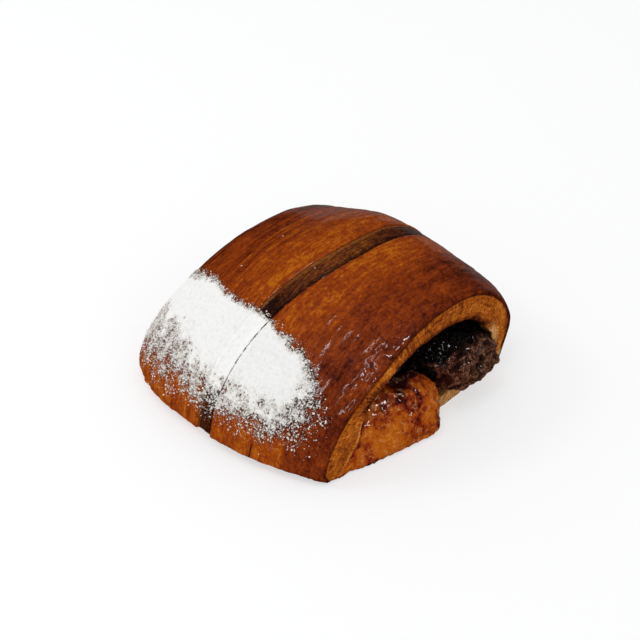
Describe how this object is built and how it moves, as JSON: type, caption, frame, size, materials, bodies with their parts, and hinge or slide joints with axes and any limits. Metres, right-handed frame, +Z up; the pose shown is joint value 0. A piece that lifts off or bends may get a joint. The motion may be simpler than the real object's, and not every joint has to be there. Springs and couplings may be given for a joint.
{
  "type": "pain au chocolat",
  "caption": "Rolled laminated pastry round a chocolate filling, open at both ends, with a dark cocoa-dough strip over the top and icing sugar on one side.",
  "frame": {"origin": "on the tray, under the middle of the roll", "axes": "+X along the rolled chocolate to the open end with the taller crest, +Y to the wall behind the chocolate, +Z up"},
  "size_m": [0.1114, 0.1118, 0.0528],
  "materials": {
    "baked_dough": "egg-washed, satin, with streaks along the wrap",
    "melted_chocolate": "rough and crumbly, with glossy spots",
    "cocoa_dough": "satin"
  },
  "bodies": {
    "root": {"dough": "baked_dough", "chocolate": "melted_chocolate", "cocoa_strip": "cocoa_dough"}
  },
  "joints": []
}
